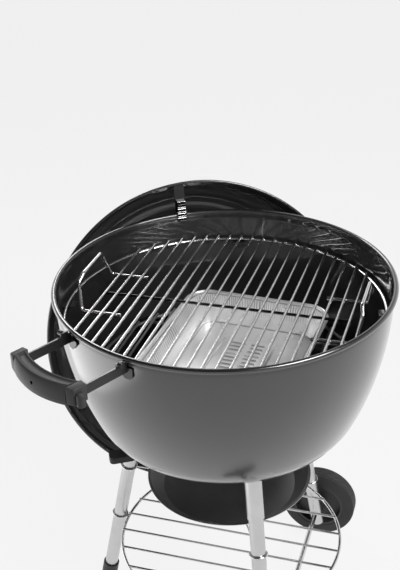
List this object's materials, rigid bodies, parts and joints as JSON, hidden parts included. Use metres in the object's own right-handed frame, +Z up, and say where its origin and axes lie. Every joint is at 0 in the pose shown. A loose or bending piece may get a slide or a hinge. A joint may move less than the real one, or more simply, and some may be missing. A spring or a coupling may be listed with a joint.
{
  "type": "kettle charcoal grill",
  "caption": "Round enamelled charcoal grill on legs with two wheels; its lid hangs by a hook on the bowl's rim beside a wire grate and a foil drip pan.",
  "frame": {"origin": "middle of the bounding box on the floor", "axes": "+Z up, +X along the wheel axle, -Y towards the leg with the foot; the bowl's own axis stands at x 0.04532, y 0.06075"},
  "size_m": [0.8392, 0.6952, 0.784],
  "materials": {
    "black_enamel": "gloss porcelain enamel",
    "bowl_bracket": "gloss porcelain enamel",
    "plated_wire": "bright plated steel wire",
    "charcoal_wire": "plain steel wire",
    "foil": "bright pressed foil",
    "sweep_steel": "plain aluminised steel",
    "grip_nylon": "fine-grained glass-filled nylon",
    "black_plastic": "matt moulded plastic",
    "bracket_black": "satin black paint",
    "leg_metal": "satin tube",
    "tyre_rubber": "matt rubber",
    "dish_aluminium": "satin pressed sheet",
    "clip_steel": "bright spring steel"
  },
  "bodies": {
    "stand": {"bowl": "black_enamel", "cooking_grate_brackets": "bowl_bracket", "charcoal_grate_brackets": "bowl_bracket", "side_handle_bracket_rear": "bracket_black", "side_handle_bracket_front": "bracket_black", "side_handle_cap_rear": "grip_nylon", "side_handle_cap_front": "grip_nylon", "side_handle_studs": "bracket_black", "side_handle_grip": "grip_nylon", "leg_front": "leg_metal", "leg_right": "leg_metal", "leg_left": "leg_metal", "leg_sockets": "leg_metal", "foot_cap": "black_plastic", "leg_plugs": "black_plastic", "axle": "plated_wire", "axle_cap_right": "black_plastic", "axle_cap_left": "black_plastic", "bottom_rack_ring": "plated_wire", "bottom_rack_rods": "plated_wire", "bottom_rack_clips": "plated_wire", "ash_dish_hangers": "plated_wire"},
    "cooking_grate": {"cooking_grate_ring": "plated_wire", "cooking_grate_rods": "plated_wire", "cooking_grate_cross_rod": "plated_wire", "cooking_grate_handle_rear": "plated_wire", "cooking_grate_handle_front": "plated_wire"},
    "charcoal_grate": {"charcoal_grate_ring": "charcoal_wire", "charcoal_grate_rods": "charcoal_wire", "charcoal_grate_cross_rods": "charcoal_wire"},
    "pan": {"drip_pan": "foil"},
    "sweep": {"sweep_blades": "sweep_steel", "sweep_shaft": "sweep_steel", "sweep_lever": "sweep_steel", "sweep_lever_grip": "grip_nylon"},
    "right_wheel": {"wheel_right": "black_plastic", "tyre_right": "tyre_rubber"},
    "left_wheel": {"wheel_left": "black_plastic", "tyre_left": "tyre_rubber"},
    "dish": {"ash_dish": "dish_aluminium"},
    "lid": {"lid_shell": "black_enamel", "lid_damper_rivet": "sweep_steel", "lid_handle_bridge": "bracket_black", "lid_handle_grip": "grip_nylon", "lid_handle_screws": "sweep_steel", "lid_hook_strap": "bracket_black", "lid_hook_clip": "clip_steel"},
    "damper": {"lid_damper": "dish_aluminium"}
  },
  "joints": [
    {"name": "lid_lift", "type": "slide", "parent": "stand", "child": "lid", "axis": [0, 0, 1], "range_m": [0, 0.09]},
    {"name": "lid_damper_turn", "type": "hinge", "parent": "lid", "child": "damper", "pos_m": [-0.25266, -0.26976, 0.43995], "axis": [-0.7086, -0.6656, -0.2342], "range_deg": [0, 45]},
    {"name": "cooking_grate_lift", "type": "slide", "parent": "stand", "child": "cooking_grate", "axis": [0, 0, 1], "range_m": [0, 0.36]},
    {"name": "drip_pan_lift", "type": "slide", "parent": "stand", "child": "pan", "axis": [0, 0, 1], "range_m": [0, 0.27]},
    {"name": "charcoal_grate_lift", "type": "slide", "parent": "stand", "child": "charcoal_grate", "axis": [0, 0, 1], "range_m": [0, 0.21]},
    {"name": "sweep_turn", "type": "hinge", "parent": "stand", "child": "sweep", "pos_m": [0.04532, 0.06075, 0.4], "axis": [0, 0, 1], "range_deg": [0, 60]},
    {"name": "right_wheel_spin", "type": "hinge", "parent": "stand", "child": "right_wheel", "pos_m": [0.29723, 0.18482, 0.076], "axis": [1, 0, 0], "continuous": true},
    {"name": "left_wheel_spin", "type": "hinge", "parent": "stand", "child": "left_wheel", "pos_m": [-0.20659, 0.18482, 0.076], "axis": [1, 0, 0], "continuous": true},
    {"name": "ash_dish_slide", "type": "slide", "parent": "stand", "child": "dish", "axis": [0.866, -0.5, 0], "range_m": [0, 0.45]}
  ],
  "couplings": [
    {"joint": "drip_pan_lift", "follows": "cooking_grate_lift", "ratio": 0.75},
    {"joint": "charcoal_grate_lift", "follows": "cooking_grate_lift", "ratio": 0.58333}
  ]
}
